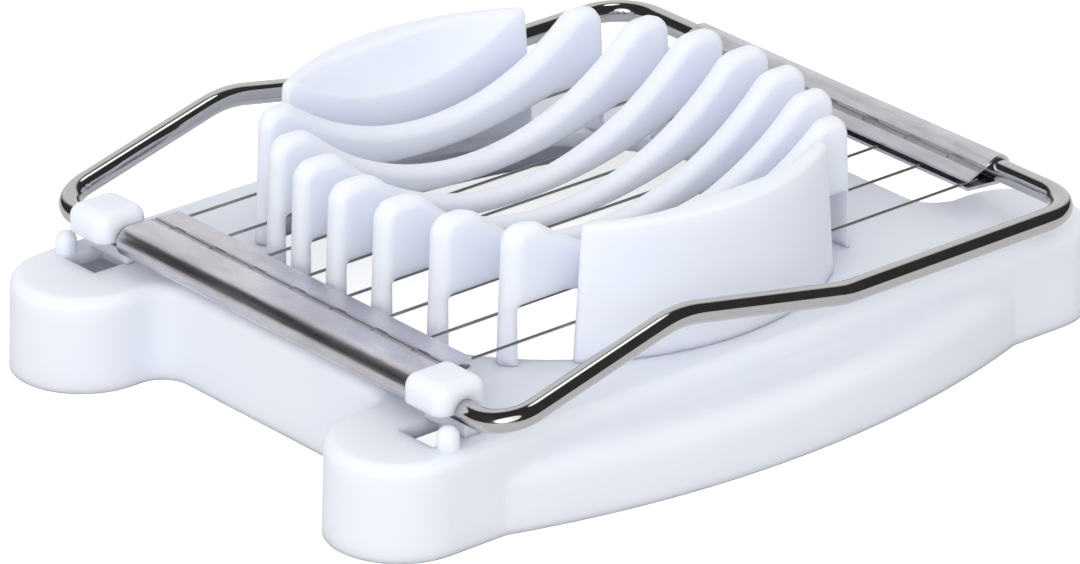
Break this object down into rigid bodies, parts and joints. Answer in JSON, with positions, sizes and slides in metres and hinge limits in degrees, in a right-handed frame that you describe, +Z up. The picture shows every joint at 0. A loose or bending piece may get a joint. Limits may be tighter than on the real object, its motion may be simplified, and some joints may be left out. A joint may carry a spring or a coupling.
{
  "type": "egg slicer",
  "caption": "Egg slicer: a white moulded base with a slotted egg cradle, and a hinged polished steel rod frame strung with parallel cutting wires.",
  "frame": {"origin": "on the table under the middle of the egg cradle", "axes": "+X along the wires from the hinge to the free end of the frame, +Y along the hinge, +Z up"},
  "size_m": [0.1212, 0.0958, 0.0306],
  "materials": {
    "moulding": "satin",
    "rod": "polished",
    "strip": "bright rolled",
    "wire": "drawn"
  },
  "bodies": {
    "base": {"tray": "moulding", "rib_1": "moulding", "rib_2": "moulding", "rib_3": "moulding", "rib_4": "moulding", "rib_5": "moulding", "rib_6": "moulding", "rib_7": "moulding", "end_wall_near": "moulding", "end_wall_far": "moulding", "hinge_lug_near": "moulding", "hinge_lug_far": "moulding"},
    "frame": {"frame_rod": "rod", "front_clamp": "strip", "rear_clamp": "strip", "wire_1": "wire", "wire_2": "wire", "wire_3": "wire", "wire_4": "wire", "wire_5": "wire", "wire_6": "wire", "wire_7": "wire", "wire_8": "wire"}
  },
  "joints": [
    {"name": "frame_hinge", "type": "hinge", "parent": "base", "child": "frame", "pos_m": [-0.0455, 0, 0.0162], "axis": [0, -1, 0], "range_deg": [0, 180]}
  ]
}
